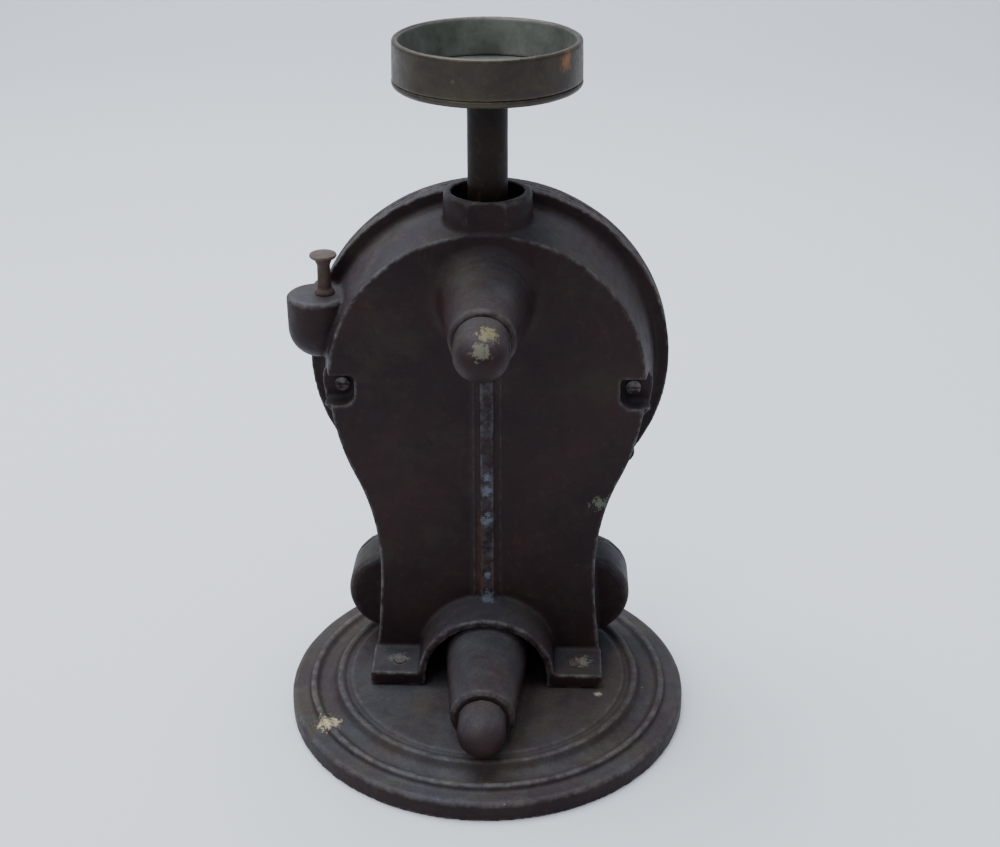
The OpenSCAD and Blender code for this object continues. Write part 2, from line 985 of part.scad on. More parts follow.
module pan_cup() {
    color(patina)
        translate([0, stem_y, seat_low])
            rotate_extrude($fn = 160)
                polygon([[cup_bore_r, seat_t], [cup_r, seat_t], [cup_r - 0.3, cup_h - 0.7],
                         [cup_r - 1, cup_h], [cup_bore_r + 0.5, cup_h],
                         [cup_bore_r, cup_h - 0.6]]);
}

// Round floor under the cup's ring, with the beaded edge
module seat_plate() {
    color(patina)
        difference() {
            translate([0, stem_y, seat_low])
                rotate_extrude($fn = 160)
                    polygon([[0, 0], [cup_r - 1.6, 0], [cup_r - 0.5, 0.4],
                             [cup_r + 0.2, 1.4], [cup_r, seat_t], [0, seat_t]]);
            translate([0, stem_y, seat_low - 1])
                cylinder(r = cup_screw_r + fit, h = 6);
            translate([0, stem_y, seat_low + 0.8])
                cylinder(r1 = cup_screw_r + fit, r2 = 4.3, h = 2.25);
        }
}

module cup_screw() {
    color(steel)
        difference() {
            union() {
                translate([0, stem_y, seat_low - 13])
                    cylinder(r = cup_screw_r, h = 14);
                translate([0, stem_y, seat_low + 0.8])
                    cylinder(r1 = cup_screw_r, r2 = 4.1, h = 2.1);
            }
            translate([-5, stem_y - 0.5, seat_low + 2])
                cube([10, 1, 2]);
        }
}

// ---------- pointer ----------

module pointer_hub() {
    color(brass)
        difference() {
            turned(0, arbor_end_y + 0.2, dial_z)
                polygon([[0, 0], [3.6, 0], [4.6, 0.6], [5, 1.6], [5, 2.1], [0, 2.1]]);
            bar_y(0, dial_z, arbor_r, plate_y + 1, arbor_end_y);
        }
}

// The pointer rests at the low left of the dial and turns clockwise from there
module pointer() {
    rest_a = -90 + (360 - sweep) / 2;
    color(ink)
        difference() {
            translate([0, plate_y + 2.6, dial_z])
                rotate([90, 0, 0])
                    linear_extrude(0.7)
                        rotate(rest_a)
                            difference() {
                                union() {
                                    circle(7);
                                    polygon([[0, -2.6], [-20, -3.8], [-24, 0], [-20, 3.8], [0, 2.6]]);
                                    polygon([[0, -2.6], [42, -1.3], [46, -2.6], [62, 0],
                                             [46, 2.6], [42, 1.3], [0, 2.6]]);
                                }
                                translate([-18, 0])
                                    circle(1.6);
                            }
            bar_y(0, dial_z, 5, plate_y + 1, plate_y + 4);
        }
}

// ---------- zero adjustment ----------

module zero_screw() {
    color(iron_worn)
        translate([zero_x, stem_y, 0])
            rotate_extrude()
                polygon([[0, 169], [2.2, 169], [zero_r, 170], [zero_r, 183.3], [5, 183.3],
                         [5, 185.7], [zero_r, 185.7], [zero_r, pocket_ear_top + 0.3],
                         [4.4, pocket_ear_top + 0.3], [3.9, 191.8], [zero_r, 192.6],
                         [zero_r - 0.2, 203], [zero_r + 0.8, 205.4], [5.4, 206.4],
                         [6, 207.2], [5.7, 208], [4, 208.6], [0, 208.8]]);
}

module zero_beam() {
    color(iron_worn)
        difference() {
            union() {
                slab(beam_y0, beam_y1) {
                    translate([zero_x + 5, beam_z0])
                        square([beam_pivot_x - zero_x - 5, beam_z1 - beam_z0]);
                    translate([beam_pivot_x, beam_pivot_z])
                        circle(6);
                }
                translate([zero_x - 6, stem_y - 4.5, beam_pivot_z - 2])
                    cube([14, 11.5, 4]);
            }
            bar_y(beam_pivot_x, beam_pivot_z, beam_pin_r + fit, beam_y0 - eps, beam_y1 + eps);
            translate([zero_x, stem_y, 170])
                cylinder(r = zero_r + 0.5, h = 12);
            for (s = [-1, 1])
                bar_y(s * spring_x, top_eye_z + eye_r - 0.2, spring_wire_r + 1,
                      beam_y0 - eps, beam_y1 + eps);
        }
}

module zero_nut() {
    color(brass)
        difference() {
            translate([zero_x - 5, stem_y - 4.4, 171.5])
                cube([10, 8.8, 4.5]);
            translate([zero_x, stem_y, 170])
                cylinder(r = zero_r + 0.2, h = 8);
        }
}

// ---------- springs ----------

// Centre of the wire at a fraction t of the coil's length
function coil_point(t, turns, r, z0, z1) =
    [r * cos(360 * turns * t), r * sin(360 * turns * t), z0 + (z1 - z0) * t];

module coil(turns, r, wire, z0, z1) {
    per_turn = 10;
    sides = 5;
    steps = turns * per_turn;
    points = [for (i = [0 : steps])
                  let (a = 360 * turns * i / steps,
                       c = coil_point(i / steps, turns, r, z0, z1))
                      for (k = [0 : sides - 1])
                          let (b = 360 * k / sides)
                              [c[0] + wire * cos(b) * cos(a),
                               c[1] + wire * cos(b) * sin(a),
                               c[2] + wire * sin(b)]];
    sides_f = [for (i = [0 : steps - 1])
                   for (k = [0 : sides - 1])
                       [i * sides + k, i * sides + (k + 1) % sides,
                        (i + 1) * sides + (k + 1) % sides, (i + 1) * sides + k]];
    start_f = [for (k = [0 : sides - 1]) sides - 1 - k];
    end_f = [for (k = [0 : sides - 1]) steps * sides + k];
    polyhedron(points, concat([start_f], sides_f, [end_f]), convexity = 10);
}

// Round eye in the Y-Z plane
module eye(z) {
    translate([0, 0, z])
        rotate([0, 90, 0])
            rotate_extrude($fn = 18)
                translate([eye_r, 0])
                    circle(spring_wire_r, $fn = 6);
}

module main_springs() {
    mid_r = spring_r - spring_wire_r;
    color(steel)
        for (s = [-1, 1])
            translate([s * spring_x, beam_mid_y, 0]) {
                coil(spring_turns, mid_r, spring_wire_r, coil_low, coil_top);
                eye(top_eye_z);
                eye(low_eye_z);
                for (z = [coil_low, coil_top])
                    translate([-0.6, 0, z])
                        rotate([0, 90, 0])
                            cylinder(r = spring_wire_r, h = mid_r + 0.6, $fn = 8);
                translate([0, 0, coil_top - 0.4])
                    cylinder(r = spring_wire_r, h = 1.6, $fn = 8);
                translate([0, 0, coil_low - 1.2])
                    cylinder(r = spring_wire_r, h = 1.6, $fn = 8);
            }
}

base();
rear_casing();
front_plate();
bezel();
glass();
glass_spacer();
dial_plate();
dial_marks();
upper_nose_plug();
lower_nose_plug();
casing_screws();
ear_bolts();
foot_bolts();
bezel_screws();
dial_rivets();
movement_bridge();
bridge_posts();
bridge_screws();
front_bush();
rear_bush();
upper_pivot_pin();
lower_pivot_pin();
beam_pivot_pin();
pan_cup();
seat_plate();
cup_screw();
stem();
carrier_frame();
rack();
rack_screws();
upper_link_pin();
lower_link_pin();
upper_check_link();
lower_check_link();
arbor();
pinion();
pointer_hub();
pointer();
zero_screw();
zero_beam();
zero_nut();
main_springs();
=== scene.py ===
"""Looks of the pedestal spring scale: worn black castings, a patinated pan seat, an enamel dial."""
import json
import math

import bpy
import numpy as np
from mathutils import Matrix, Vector, noise


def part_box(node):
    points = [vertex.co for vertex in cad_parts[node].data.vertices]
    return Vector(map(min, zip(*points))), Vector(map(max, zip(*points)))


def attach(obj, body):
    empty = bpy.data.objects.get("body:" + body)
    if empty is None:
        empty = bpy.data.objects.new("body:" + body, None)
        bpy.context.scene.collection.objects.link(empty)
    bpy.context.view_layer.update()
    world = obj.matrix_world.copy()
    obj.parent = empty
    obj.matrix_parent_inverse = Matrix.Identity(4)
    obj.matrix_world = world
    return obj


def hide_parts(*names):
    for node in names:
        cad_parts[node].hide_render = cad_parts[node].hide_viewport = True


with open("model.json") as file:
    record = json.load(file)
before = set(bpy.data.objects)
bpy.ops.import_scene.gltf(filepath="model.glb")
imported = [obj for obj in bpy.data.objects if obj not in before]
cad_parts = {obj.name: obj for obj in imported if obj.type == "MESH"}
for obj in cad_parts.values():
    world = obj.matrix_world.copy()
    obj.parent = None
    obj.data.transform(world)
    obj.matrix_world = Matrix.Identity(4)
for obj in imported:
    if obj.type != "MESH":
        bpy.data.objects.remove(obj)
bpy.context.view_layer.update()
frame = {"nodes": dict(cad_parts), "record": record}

NODES = frame["nodes"]


def rgb(r, g, b):
    return (r, g, b, 1.0)


# ---------- camera and light ----------

# Lengths are in metres and angles in radians
BASE_R = 0.090
CAM_DISTANCE = 6.735 * BASE_R
CAM_HEIGHT = 4.941 * BASE_R
CAM_PITCH = 0.465
# The camera stands this far round the object, and turns this much to place it as in the photo
CAM_AZIMUTH = math.radians(2.3)
CAM_YAW = 0.0096
# Millimetres
CAM_LENS = 57.06
SENSOR_WIDTH = 36.0
CLIP_START = 0.01

LAMP_TARGET = (0.0, 0.0, 0.12)
# Name, place, disk width, power in watts and tint
LAMPS = [
    ("sky", (-0.25, 0.35, 1.7), 1.6, 52.0, (0.88, 0.94, 1.0)),
    ("front", (-0.9, -1.3, 1.2), 1.0, 7.0, (1.0, 0.95, 0.92)),
]
WORLD_TINT = rgb(0.80, 0.88, 1.0)
WORLD_STRENGTH = 0.5


def camera():
    data = bpy.data.cameras.new("camera")
    data.lens = CAM_LENS
    data.sensor_width = SENSOR_WIDTH
    data.clip_start = CLIP_START
    cam = bpy.data.objects.new("camera", data)
    cam.location = (CAM_DISTANCE * math.sin(CAM_AZIMUTH),
                    -CAM_DISTANCE * math.cos(CAM_AZIMUTH), CAM_HEIGHT)
    cam.rotation_euler = (math.pi / 2 - CAM_PITCH, 0.0, CAM_AZIMUTH - CAM_YAW)
    bpy.context.scene.collection.objects.link(cam)
    bpy.context.scene.camera = cam


def area_light(name, place, size, power, tint):
    data = bpy.data.lights.new(name, "AREA")
    data.shape = "DISK"
    data.size = size
    data.energy = power
    data.color = tint
    lamp = bpy.data.objects.new(name, data)
    lamp.location = place
    aim = Vector(LAMP_TARGET) - Vector(place)
    lamp.rotation_euler = aim.to_track_quat("-Z", "Y").to_euler()
    bpy.context.scene.collection.objects.link(lamp)


def world_light():
    world = bpy.data.worlds.new("studio")
    world.use_nodes = True
    back = world.node_tree.nodes["Background"]
    back.inputs["Color"].default_value = WORLD_TINT
    back.inputs["Strength"].default_value = WORLD_STRENGTH
    bpy.context.scene.world = world


# ---------- node graph helpers ----------

class Graph:
    """A short way to build a material's node graph."""

    def __init__(self, name):
        self.material = bpy.data.materials.new(name)
        self.material.use_nodes = True
        self.tree = self.material.node_tree
        self.tree.nodes.clear()
        self.out = self.add("ShaderNodeOutputMaterial")
        self.shader = self.add("ShaderNodeBsdfPrincipled")
        self.link(self.shader.outputs[0], self.out.inputs[0])

    def add(self, kind, **values):
        node = self.tree.nodes.new(kind)
        for key, value in values.items():
            setattr(node, key, value)
        return node

    def link(self, out, into):
        self.tree.links.new(out, into)

    def put(self, socket, value):
        """Links a socket or sets a constant."""
        if isinstance(value, bpy.types.NodeSocket):
            self.link(value, socket)
        else:
            socket.default_value = value

    def coords(self):
        return self.add("ShaderNodeTexCoord").outputs["Object"]

    def noise(self, scale, detail=4.0, rough=0.55, distort=0.0, stretch=None):
        node = self.add("ShaderNodeTexNoise")
        vec = self.coords()
        if stretch:
            mapping = self.add("ShaderNodeMapping")
            mapping.inputs["Scale"].default_value = stretch
            self.link(vec, mapping.inputs["Vector"])
            vec = mapping.outputs[0]
        self.link(vec, node.inputs["Vector"])
        node.inputs["Scale"].default_value = scale
        node.inputs["Detail"].default_value = detail
        node.inputs["Roughness"].default_value = rough
        node.inputs["Distortion"].default_value = distort
        return node.outputs["Fac"]

    def cells(self, scale, feature="F1"):
        node = self.add("ShaderNodeTexVoronoi", feature=feature)
        self.link(self.coords(), node.inputs["Vector"])
        node.inputs["Scale"].default_value = scale
        return node.outputs["Distance"]

    def ramp(self, value, low, high, low_out=0.0, high_out=1.0):
        """Maps low..high to low_out..high_out, clamped."""
        node = self.add("ShaderNodeMapRange", clamp=True)
        self.put(node.inputs["Value"], value)
        node.inputs["From Min"].default_value = low
        node.inputs["From Max"].default_value = high
        node.inputs["To Min"].default_value = low_out
        node.inputs["To Max"].default_value = high_out
        return node.outputs["Result"]

    def math(self, kind, a, b=0.0):
        node = self.add("ShaderNodeMath", operation=kind)
        self.put(node.inputs[0], a)
        self.put(node.inputs[1], b)
        return node.outputs[0]

    def times(self, first, *others):
        """The product of the values."""
        for other in others:
            first = self.math("MULTIPLY", first, other)
        return first

    def mix(self, factor, a, b):
        """Mixes two colours."""
        node = self.add("ShaderNodeMix", data_type="RGBA")
        self.put(node.inputs["Factor"], factor)
        self.put(node.inputs[6], a)
        self.put(node.inputs[7], b)
        return node.outputs[2]

    def over(self, color, tint, *shares):
        """Lays a tint over a colour by the product of the shares."""
        return self.mix(self.times(*shares), color, tint)

    def up(self):
        """How far a surface faces up, from -1 to 1."""
        normal = self.add("ShaderNodeNewGeometry").outputs["Normal"]
        parts = self.add("ShaderNodeSeparateXYZ")
        self.link(normal, parts.inputs[0])
        return parts.outputs["Z"]

    def pointed(self):
        return self.add("ShaderNodeNewGeometry").outputs["Pointiness"]

    def edge(self, low, high):
        """1 on sharp outer edges, 0 elsewhere."""
        return self.ramp(self.pointed(), low, high)

    def crease(self, low, high):
        """1 in inner corners, 0 elsewhere."""
        return self.ramp(self.pointed(), low, high, 1.0, 0.0)

    def spot(self, centre, radius, soft=0.5, ragged=0.9):
        """1 inside a ragged, broken patch round a point, in metres."""
        near = self.add("ShaderNodeVectorMath", operation="DISTANCE")
        self.link(self.coords(), near.inputs[0])
        near.inputs[1].default_value = centre
        wobble = self.ramp(self.noise(480.0, 6.0, 0.75), 0.32, 0.68, -ragged, ragged)
        size = self.math("DIVIDE", near.outputs["Value"], radius)
        return self.ramp(self.math("ADD", size, wobble), 1.0 - soft, 1.0, 1.0, 0.0)

    def zone(self, low, high, soft=0.0005):
        """1 inside a box given in metres, fading out over soft."""
        parts = self.add("ShaderNodeSeparateXYZ")
        self.link(self.coords(), parts.inputs[0])
        sides = []
        for axis in range(3):
            value = parts.outputs[axis]
            rise = self.ramp(value, low[axis] - soft, low[axis])
            fall = self.ramp(value, high[axis], high[axis] + soft, 1.0, 0.0)
            sides.append(self.times(rise, fall))
        return self.times(*sides)

    def bump(self, height, strength, distance, below=None):
        node = self.add("ShaderNodeBump")
        node.inputs["Strength"].default_value = strength
        node.inputs["Distance"].default_value = distance
        self.link(height, node.inputs["Height"])
        if below:
            self.link(below, node.inputs["Normal"])
        return node.outputs[0]

    def finish(self, color, rough, normal=None, metal=0.0, **fixed):
        self.put(self.shader.inputs["Base Color"], color)
        self.put(self.shader.inputs["Roughness"], rough)
        self.put(self.shader.inputs["Metallic"], metal)
        if normal:
            self.link(normal, self.shader.inputs["Normal"])
        for key, value in fixed.items():
            self.shader.inputs[key.replace("_", " ")].default_value = value
        return self.material


# ---------- materials ----------

# Noise and cell scales are per metre; a ramp's two cuts say where a layer starts and is full

PAINT = rgb(0.0165, 0.0090, 0.0100)
PAINT_RED = rgb(0.0270, 0.0138, 0.0138)
PAINT_BROWN = rgb(0.030, 0.024, 0.018)
RUST = rgb(0.060, 0.022, 0.012)
RUST_FILM = rgb(0.060, 0.030, 0.020)
# Painted shade: near black laid into inner corners and creases
PAINTED_CREASE_SHADE = rgb(0.012, 0.008, 0.007)
# Pale bare metal on edges: partly real wear, partly a painted highlight along the edges
BARE_EDGE_AND_HIGHLIGHT = rgb(0.22, 0.205, 0.20)
FLECK = rgb(0.50, 0.48, 0.43)
# Dust mixed with a painted sheen of sky light, for upward faces; the brown and plum are mottled
# tones of the same layer
DUST_AND_SKY_SHEEN = rgb(0.088, 0.092, 0.104)
DUST_AND_SHEEN_BROWN = rgb(0.082, 0.074, 0.062)
DUST_AND_SHEEN_PLUM = rgb(0.072, 0.050, 0.062)
CHIP_BLUE = rgb(0.105, 0.117, 0.138)
CHIP_CREAM = rgb(0.50, 0.42, 0.26)
DIAL_INK = rgb(0.012, 0.011, 0.011)

# Just outside the cup's bore, and just under the top of its floor
CUP_BORE_R = 0.0357
CUP_BORE_SOFT = 0.0003
CUP_FLOOR_DEPTHS = (0.0010, 0.0006)

# Centre, radius and colour of each chip or stain
CASING_SPOTS = [
    ((-0.0405, -0.0040, 0.0212), 0.0042, rgb(0.13, 0.135, 0.12)),
    ((0.0440, -0.0040, 0.0212), 0.0040, rgb(0.20, 0.19, 0.15)),
    ((0.0500, 0.0060, 0.0990), 0.0036, rgb(0.11, 0.12, 0.09)),
    ((-0.0002, 0.0030, 0.1125), 0.0022, CHIP_BLUE),
    ((0.0000, 0.0030, 0.1060), 0.0026, CHIP_BLUE),
    ((0.0000, 0.0030, 0.0915), 0.0030, CHIP_BLUE),
    ((0.0003, 0.0030, 0.0505), 0.0036, CHIP_BLUE),
    ((0.0003, 0.0030, 0.0625), 0.0018, CHIP_BLUE),
    ((0.0030, -0.0520, 0.2045), 0.0042, rgb(0.19, 0.165, 0.085)),
    ((0.0000, -0.0590, 0.2010), 0.0038, rgb(0.15, 0.14, 0.10)),
]
# Low corner, high corner, share, two noise cuts and colour: the worn rib, rust down its two edges
CASING_ZONES = [
    ((-0.0026, 0.0025, 0.0420), (0.0026, 0.0040, 0.1790), 0.6, 0.42, 0.60,
     rgb(0.060, 0.058, 0.066)),
    ((-0.0044, 0.0025, 0.0540), (-0.0018, 0.0058, 0.0960), 0.8, 0.40, 0.56, RUST),
    ((0.0020, 0.0025, 0.0500), (0.0036, 0.0058, 0.0720), 0.6, 0.46, 0.60, RUST),
]
BASE_SPOTS = [
    ((-0.0693, -0.0391, 0.0100), 0.0052, CHIP_CREAM),
    ((0.0505, -0.0186, 0.0140), 0.0018, rgb(0.34, 0.33, 0.24)),
]


def cast_black(name, paint, tint, dust_sheen_color, dust_sheen_share=0.75, rust=0.35, spots=(), zones=(), edge_wear_and_highlight=0.6,
               gloss=0.13):
    """Old japanned cast iron: brown black paint, dust with a painted sky sheen on upward faces,
    painted shade in inner corners, rust, and bare worn edges that also carry a painted highlight.
    """
    g = Graph(name)
    broad = g.noise(18.0, 6.0, 0.65, 0.6)
    cloud = g.noise(55.0, 6.0, 0.7, 0.3)
    fine = g.noise(190.0, 7.0, 0.7)
    grain = g.noise(1000.0, 4.0, 0.65)
    color = g.mix(g.ramp(broad, 0.38, 0.62), paint, tint)
    color = g.over(color, PAINT_BROWN, g.ramp(cloud, 0.52, 0.66), 0.5)
    color = g.over(color, RUST_FILM, g.ramp(fine, 0.55, 0.70), rust)
    # Painted sky sheen with dust: the more a face looks up, the paler and more blue grey it is, in
    # patches
    lying = g.ramp(g.up(), 0.15, 0.85)
    dust_sheen_patches = g.ramp(cloud, 0.30, 0.68, 0.40, 1.0)
    speck = g.ramp(grain, 0.35, 0.65, 0.65, 1.0)
    dust_sheen_mask = g.times(lying, dust_sheen_patches, speck, dust_sheen_share)
    dust_sheen_tone = g.mix(g.ramp(g.noise(27.0, 5.0, 0.7), 0.42, 0.58), dust_sheen_color, DUST_AND_SHEEN_BROWN)
    dust_sheen_tone = g.over(dust_sheen_tone, DUST_AND_SHEEN_PLUM, g.ramp(g.noise(33.0, 6.0, 0.72), 0.52, 0.62), 0.6)
    color = g.mix(dust_sheen_mask, color, dust_sheen_tone)
    # Painted shade: darker in inner corners and creases, found by pointiness
    color = g.over(color, PAINTED_CREASE_SHADE, g.crease(0.36, 0.485), 0.75)
    # Pale edges by pointiness: partly worn bare metal, partly a painted highlight
    edge = g.times(g.edge(0.508, 0.555), g.ramp(fine, 0.42, 0.62), edge_wear_and_highlight)
    color = g.mix(edge, color, BARE_EDGE_AND_HIGHLIGHT)
    fleck = g.ramp(g.cells(150.0), 0.025, 0.04, 1.0, 0.0)
    rare = g.ramp(g.noise(21.0, 2.0), 0.62, 0.68)
    color = g.over(color, FLECK, fleck, rare, 0.85)
    for low_corner, high_corner, share, low_cut, high_cut, stain in zones:
        inside = g.zone(low_corner, high_corner)
        color = g.over(color, stain, inside, g.ramp(fine, low_cut, high_cut), share)
    for centre, radius, chip in spots:
        color = g.over(color, chip, g.spot(centre, radius), 0.85)
    rough = g.math("ADD", g.ramp(fine, 0.3, 0.7, 0.42, 0.60), g.times(dust_sheen_mask, 0.16))
    low = g.bump(cloud, 0.40, 0.0010)
    mid = g.bump(fine, 0.35, 0.00050, low)
    normal = g.bump(grain, 0.35, 0.00016, mid)
    return g.finish(color, rough, normal, g.times(edge, 0.3), Specular_IOR_Level=gloss)


def plain_metal(name, light, dark, rough, metal=1.0, stain=0.3, scratch=0.2):
    """Bare or polished metal with fine scratches and stains."""
    g = Graph(name)
    broad = g.noise(70.0, 5.0, 0.6)
    lines = g.noise(420.0, 4.0, 0.6, stretch=(1.0, 1.0, 0.12))
    color = g.mix(g.ramp(broad, 0.3, 0.7), dark, light)
    color = g.over(color, rgb(0.12, 0.06, 0.03), g.ramp(g.noise(310.0, 4.0), 0.56, 0.72), stain)
    normal = g.bump(lines, scratch, 0.0002)
    return g.finish(color, g.ramp(lines, 0.2, 0.8, rough - 0.08, rough + 0.12), normal, metal)


def enamel(name):
    """Aged cream enamel: hairline cracks, yellowing and small rust pits."""
    g = Graph(name)
    broad = g.noise(22.0, 5.0, 0.6)
    color = g.mix(g.ramp(broad, 0.3, 0.75), rgb(0.78, 0.74, 0.62), rgb(0.62, 0.55, 0.40))
    crack = g.ramp(g.cells(95.0, "DISTANCE_TO_EDGE"), 0.0, 0.012, 1.0, 0.0)
    gate = g.ramp(g.noise(30.0, 3.0), 0.5, 0.62)
    color = g.over(color, rgb(0.20, 0.13, 0.08), crack, gate, 0.6)
    pit = g.ramp(g.cells(210.0), 0.05, 0.09, 1.0, 0.0)
    rare = g.ramp(g.noise(26.0, 2.0), 0.60, 0.68)
    color = g.over(color, rgb(0.17, 0.08, 0.04), pit, rare)
    normal = g.bump(g.noise(120.0, 3.0), 0.12, 0.0002)
    return g.finish(color, g.ramp(broad, 0.3, 0.7, 0.16, 0.3), normal)


def seat_patina(name):
    """Brown and olive patina of the pan seat, paler and greener inside, one spot of rust."""
    g = Graph(name)
    cup_low, cup_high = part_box("pan_cup")
    axis_y = (cup_low.y + cup_high.y) / 2
    floor_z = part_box("seat_plate")[1].z
    broad = g.noise(38.0, 6.0, 0.65, 0.8)
    fine = g.noise(300.0, 6.0, 0.7)
    color = g.mix(g.ramp(broad, 0.36, 0.64), rgb(0.030, 0.021, 0.015), rgb(0.058, 0.047, 0.028))
    color = g.over(color, rgb(0.040, 0.026, 0.028), g.ramp(g.noise(75.0, 5.0), 0.52, 0.66), 0.6)
    color = g.over(color, rgb(0.085, 0.058, 0.028), g.ramp(fine, 0.55, 0.7), 0.45)
    edge = g.times(g.edge(0.52, 0.58), g.ramp(fine, 0.35, 0.6), 0.55)
    color = g.mix(edge, color, rgb(0.20, 0.18, 0.13))
    parts = g.add("ShaderNodeSeparateXYZ")
    g.link(g.coords(), parts.inputs[0])
    across = parts.outputs["X"]
    along = g.math("SUBTRACT", parts.outputs["Y"], axis_y)
    radius = g.math("SQRT", g.math("ADD", g.times(across, across), g.times(along, along)))
    start, full = (floor_z - depth for depth in CUP_FLOOR_DEPTHS)
    inside = g.times(g.ramp(radius, CUP_BORE_R, CUP_BORE_R + CUP_BORE_SOFT, 1.0, 0.0),
                     g.ramp(parts.outputs["Z"], start, full))
    inner = g.mix(g.ramp(g.noise(60.0, 6.0, 0.7), 0.35, 0.65),
                  rgb(0.110, 0.118, 0.100), rgb(0.215, 0.225, 0.205))
    color = g.mix(inside, color, inner)
    rust = g.spot((0.0312, axis_y - 0.0218, cup_high.z - 0.004), 0.0042, 0.7, 0.6)
    color = g.over(color, rgb(0.27, 0.105, 0.030), rust, 0.8)
    low = g.bump(g.noise(90.0, 4.0), 0.3, 0.0006)
    normal = g.bump(fine, 0.35, 0.0003, low)
    rough = g.ramp(fine, 0.3, 0.7, 0.34, 0.55)
    return g.finish(color, rough, normal, 0.35, Specular_IOR_Level=0.4)


def clear_glass(name):
    g = Graph(name)
    smear = g.noise(35.0, 3.0)
    return g.finish(rgb(0.96, 0.98, 0.97), g.ramp(smear, 0.4, 0.8, 0.02, 0.10), None,
                    Transmission_Weight=1.0, IOR=1.45)


def materials():
    return {
        "base_iron": cast_black("base_iron", PAINT, PAINT_RED, DUST_AND_SKY_SHEEN, 0.85, 0.5, BASE_SPOTS),
        "casing_iron": cast_black("casing_iron", PAINT, PAINT_RED, DUST_AND_SKY_SHEEN, 0.75, 0.3,
                                  CASING_SPOTS, CASING_ZONES),
        "bezel_iron": cast_black("bezel_iron", PAINT, PAINT_RED, DUST_AND_SKY_SHEEN, 0.6, 0.4),
        "seat_iron": seat_patina("seat_iron"),
        "stem_steel": cast_black("stem_steel", rgb(0.010, 0.007, 0.006), rgb(0.024, 0.014, 0.010),
                                 DUST_AND_SKY_SHEEN, 0.4, 0.5, edge_wear_and_highlight=0.3, gloss=0.12),
        "forged_iron": plain_metal("forged_iron", rgb(0.16, 0.15, 0.14), rgb(0.07, 0.06, 0.055),
                                   0.5, 0.8),
        "worn_steel": cast_black("worn_steel", rgb(0.050, 0.036, 0.030), rgb(0.095, 0.062, 0.048),
                                 rgb(0.13, 0.11, 0.10), 0.5, 0.8),
        "bright_steel": plain_metal("bright_steel", rgb(0.62, 0.62, 0.63), rgb(0.42, 0.41, 0.41),
                                    0.3),
        "movement_brass": plain_metal("movement_brass", rgb(0.66, 0.49, 0.22),
                                      rgb(0.42, 0.29, 0.12), 0.32),
        "dial_enamel": enamel("dial_enamel"),
        "dial_black": cast_black("dial_black", DIAL_INK, DIAL_INK, DIAL_INK, 0.1, 0.2),
        "dial_glass": clear_glass("dial_glass"),
    }


def dress(obj, material, smooth=True):
    obj.data.materials.clear()
    obj.data.materials.append(material)
    for face in obj.data.polygons:
        face.use_smooth = smooth


# ---------- cast surfaces ----------

SOFTEN_FACTOR = 0.5
# Lumps per metre, then the fractal's increment, lacunarity and octaves
LUMP_SCALE = 60.0
LUMP_FRACTAL = (1.0, 2.0, 3)

# Node, body, material slot, voxel size, smoothing steps and unevenness
CASTINGS = [
    ("rear_casing", "frame", "casing_iron", 0.0008, 3, 0.00016),
    ("base", "frame", "base_iron", 0.0008, 3, 0.00016),
    ("front_plate", "frame", "casing_iron", 0.0010, 3, 0.00012),
    ("bezel", "frame", "bezel_iron", 0.0009, 3, 0.00010),
    ("upper_nose_plug", "frame", "casing_iron", 0.0006, 4, 0.00018),
    ("lower_nose_plug", "frame", "casing_iron", 0.0006, 4, 0.00014),
    ("pan_cup", "carrier", "seat_iron", 0.0006, 2, 0.00010),
    ("seat_plate", "carrier", "seat_iron", 0.0006, 2, 0.00010),
    ("stem", "carrier", "stem_steel", 0.0006, 2, 0.00008),
    ("carrier_frame", "carrier", "forged_iron", 0.0006, 14, 0.00004),
    ("zero_screw", "zero_screw", "worn_steel", 0.0004, 2, 0.00008),
]


def evaluated_mesh(obj):
    """A new mesh with the object's modifiers applied."""
    deps = bpy.context.evaluated_depsgraph_get()
    deps.update()
    return bpy.data.meshes.new_from_object(obj.evaluated_get(deps), depsgraph=deps)


def read_points(mesh, what):
    """A mesh's vertex positions ("co") or normals ("normal"), one row each."""
    values = np.empty(len(mesh.vertices) * 3)
    mesh.vertices.foreach_get(what, values)
    return values.reshape(-1, 3)


def write_points(mesh, places):
    mesh.vertices.foreach_set("co", places.ravel())
    mesh.update()


def casting(node, voxel, smooth_steps, uneven):
    """A cast skin over a CAD node: edges and inner corners rounded, faces a little uneven."""
    source = NODES[node]
    low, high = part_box(node)
    work = bpy.data.objects.new(node + "_work", source.data.copy())
    bpy.context.scene.collection.objects.link(work)
    remesh = work.modifiers.new("remesh", "REMESH")
    remesh.mode = "VOXEL"
    remesh.voxel_size = voxel
    soften = work.modifiers.new("soften", "SMOOTH")
    soften.factor = SOFTEN_FACTOR
    soften.iterations = smooth_steps
    mesh = evaluated_mesh(work)
    bpy.data.objects.remove(work)
    places = read_points(mesh, "co")
    normals = read_points(mesh, "normal")
    push = np.array([noise.fractal(Vector(p) * LUMP_SCALE, *LUMP_FRACTAL) for p in places])
    places += normals * (push * uneven)[:, None]
    write_points(mesh, np.clip(places, np.array(low), np.array(high)))
    skin = bpy.data.objects.new(node + "_casting", mesh)
    bpy.context.scene.collection.objects.link(skin)
    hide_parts(node)
    return skin


# ---------- dial numerals ----------

NUMERAL_R = 0.046
NUMERAL_SIZE = 0.0105
NUMERAL_EXTRUDE = 0.00005
NUMERAL_LIFT = 0.00012
LAST_NUMERAL = 10
# Degrees left free at the bottom of the dial, between the last number and the first
DIAL_GAP = 39.14


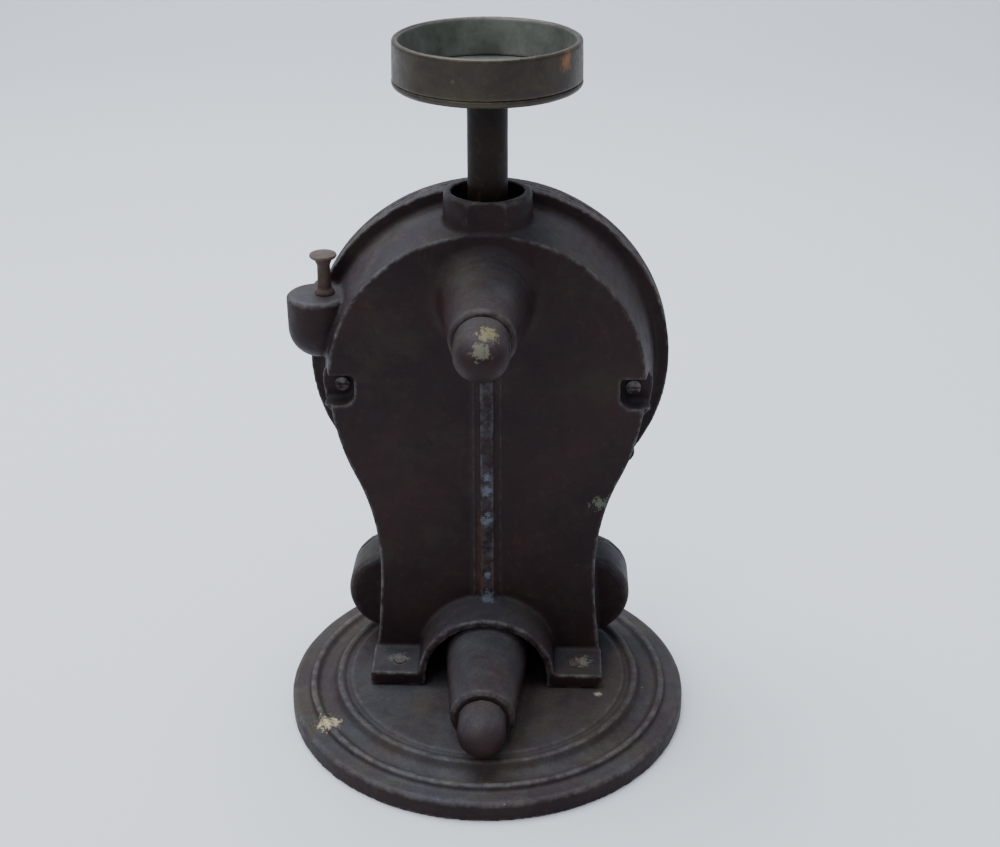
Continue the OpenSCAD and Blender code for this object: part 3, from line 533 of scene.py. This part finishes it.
def numerals(material):
    """Plain numbers 0 to 10 round the dial, printed just proud of the enamel."""
    low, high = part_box("dial_plate")
    centre_z = (low.z + high.z) / 2
    for value in range(LAST_NUMERAL + 1):
        angle = math.radians(-90 + DIAL_GAP / 2 + value * (360 - DIAL_GAP) / LAST_NUMERAL)
        curve = bpy.data.curves.new("numeral_%d" % value, "FONT")
        curve.body = str(value)
        curve.size = NUMERAL_SIZE
        curve.align_x = "CENTER"
        curve.align_y = "CENTER"
        curve.extrude = NUMERAL_EXTRUDE
        text = bpy.data.objects.new("numeral_%d_text" % value, curve)
        bpy.context.scene.collection.objects.link(text)
        mesh = evaluated_mesh(text)
        bpy.data.objects.remove(text)
        flat = read_points(mesh, "co")
        write_points(mesh, np.column_stack([
            NUMERAL_R * math.cos(angle) - flat[:, 0],
            high.y + NUMERAL_LIFT + flat[:, 2],
            centre_z + NUMERAL_R * math.sin(angle) + flat[:, 1]]))
        obj = bpy.data.objects.new("numeral_%d" % value, mesh)
        bpy.context.scene.collection.objects.link(obj)
        dress(obj, material, smooth=False)
        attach(obj, "frame")


# ---------- floor ----------

# Half the floor's width, which is also how far it reaches towards the camera
FLOOR_HALF = 5.0
# Where the bend starts behind the object, its radius, its steps and the height above it
FLOOR_BACK = 1.15
FLOOR_BEND = 0.9
FLOOR_STEPS = 16
FLOOR_RISE = 1.6


def floor(material):
    """Pale floor that curves up behind the object."""
    profile = [(-FLOOR_HALF, 0.0), (FLOOR_BACK, 0.0)]
    for i in range(1, FLOOR_STEPS + 1):
        a = math.pi / 2 * i / FLOOR_STEPS
        profile.append((FLOOR_BACK + FLOOR_BEND * math.sin(a), FLOOR_BEND * (1 - math.cos(a))))
    profile.append((FLOOR_BACK + FLOOR_BEND, FLOOR_RISE + FLOOR_BEND))
    mesh = bpy.data.meshes.new("floor")
    verts = [(x, y, z) for y, z in profile for x in (-FLOOR_HALF, FLOOR_HALF)]
    faces = [(2 * i, 2 * i + 1, 2 * i + 3, 2 * i + 2) for i in range(len(profile) - 1)]
    mesh.from_pydata(verts, [], faces)
    obj = bpy.data.objects.new("floor", mesh)
    bpy.context.scene.collection.objects.link(obj)
    dress(obj, material)


def floor_material():
    g = Graph("floor_cloth")
    return g.finish(rgb(0.80, 0.82, 0.86), 0.85, None, Specular_IOR_Level=0.15)


# ---------- the scene ----------

camera()
world_light()
for lamp in LAMPS:
    area_light(*lamp)
floor(floor_material())

FINISH = materials()
for row in frame["record"]["subparts"]:
    dress(NODES[row["node"]], FINISH[row["material_slot"]], smooth=False)

for node, body, slot_name, voxel, steps, uneven in CASTINGS:
    skin = casting(node, voxel, steps, uneven)
    dress(skin, FINISH[slot_name])
    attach(skin, body)

numerals(FINISH["dial_black"])
